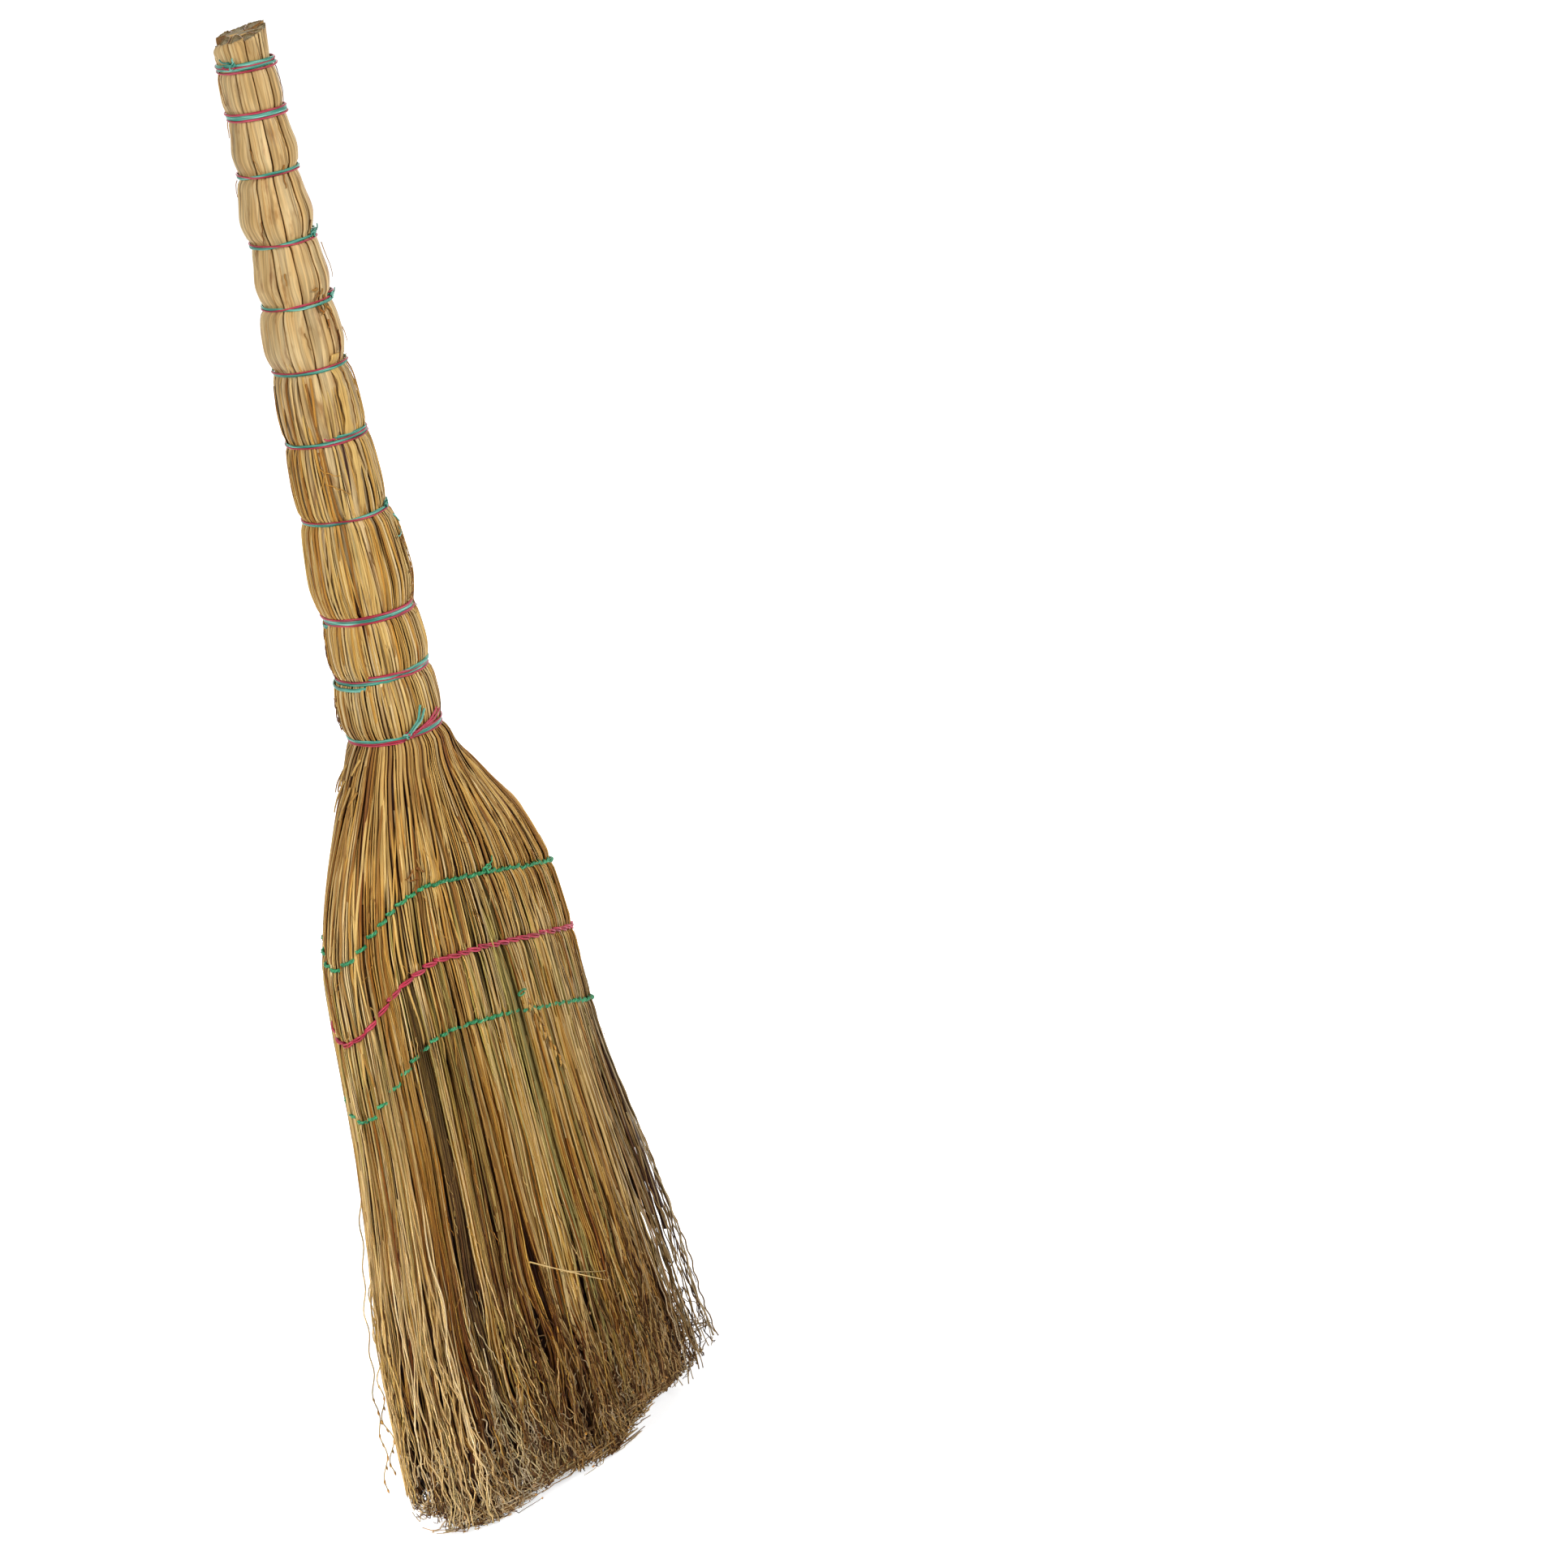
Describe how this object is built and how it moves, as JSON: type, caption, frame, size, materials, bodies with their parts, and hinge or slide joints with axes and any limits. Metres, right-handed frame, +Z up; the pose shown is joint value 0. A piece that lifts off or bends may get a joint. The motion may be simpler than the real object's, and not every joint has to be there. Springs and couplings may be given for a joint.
{
  "type": "straw broom",
  "caption": "Hand broom of bundled straw stalks bound with two-colour twine, with a flat stitched head of spread fibres.",
  "frame": {"origin": "on the floor under the middle of the brush, with the broom standing on its tips", "axes": "+Z up along the handle, +X across the width of the head, +Y through the thickness of the head"},
  "size_m": [0.2601, 0.0937, 0.85],
  "materials": {
    "stalk_straw": "dry, smooth straw sheath, satin",
    "stalk_pith": "cut pith, matt and porous",
    "bunch_straw": "thin dry straw, satin along the grain",
    "brush_fibre": "fine dry fibre, worn grey at the tips",
    "twine_green": "glossy drawn polymer twine",
    "twine_red": "glossy drawn polymer twine"
  },
  "bodies": {
    "root": {"stalk_01": "stalk_straw", "stalk_02": "stalk_straw", "stalk_03": "stalk_straw", "stalk_04": "stalk_straw", "stalk_05": "stalk_straw", "stalk_06": "stalk_straw", "stalk_07": "stalk_straw", "stalk_08": "stalk_straw", "stalk_09": "stalk_straw", "core_stalk_01": "stalk_pith", "core_stalk_02": "stalk_pith", "straw_bunch_01": "bunch_straw", "straw_bunch_02": "bunch_straw", "straw_bunch_03": "bunch_straw", "straw_bunch_04": "bunch_straw", "straw_bunch_05": "bunch_straw", "straw_bunch_06": "bunch_straw", "straw_bunch_07": "bunch_straw", "straw_bunch_08": "bunch_straw", "straw_bunch_09": "bunch_straw", "straw_bunch_10": "bunch_straw", "brush_left": "brush_fibre", "brush_centre_left": "brush_fibre", "brush_centre_right": "brush_fibre", "brush_right": "brush_fibre", "band_01_green_twine": "twine_green", "band_01_red_twine": "twine_red", "band_02_green_twine": "twine_green", "band_02_red_twine": "twine_red", "band_03_green_twine": "twine_green", "band_03_red_twine": "twine_red", "band_04_green_twine": "twine_green", "band_04_red_twine": "twine_red", "band_05_green_twine": "twine_green", "band_05_red_twine": "twine_red", "band_06_green_twine": "twine_green", "band_06_red_twine": "twine_red", "band_07_green_twine": "twine_green", "band_07_red_twine": "twine_red", "band_08_green_twine": "twine_green", "band_08_red_twine": "twine_red", "band_09_green_twine": "twine_green", "band_09_red_twine": "twine_red", "band_10_green_twine": "twine_green", "band_10_red_twine": "twine_red", "band_11_green_twine": "twine_green", "band_11_red_twine": "twine_red", "stitch_row_1_green": "twine_green", "stitch_row_2_red": "twine_red", "stitch_row_3_green": "twine_green"}
  },
  "joints": []
}
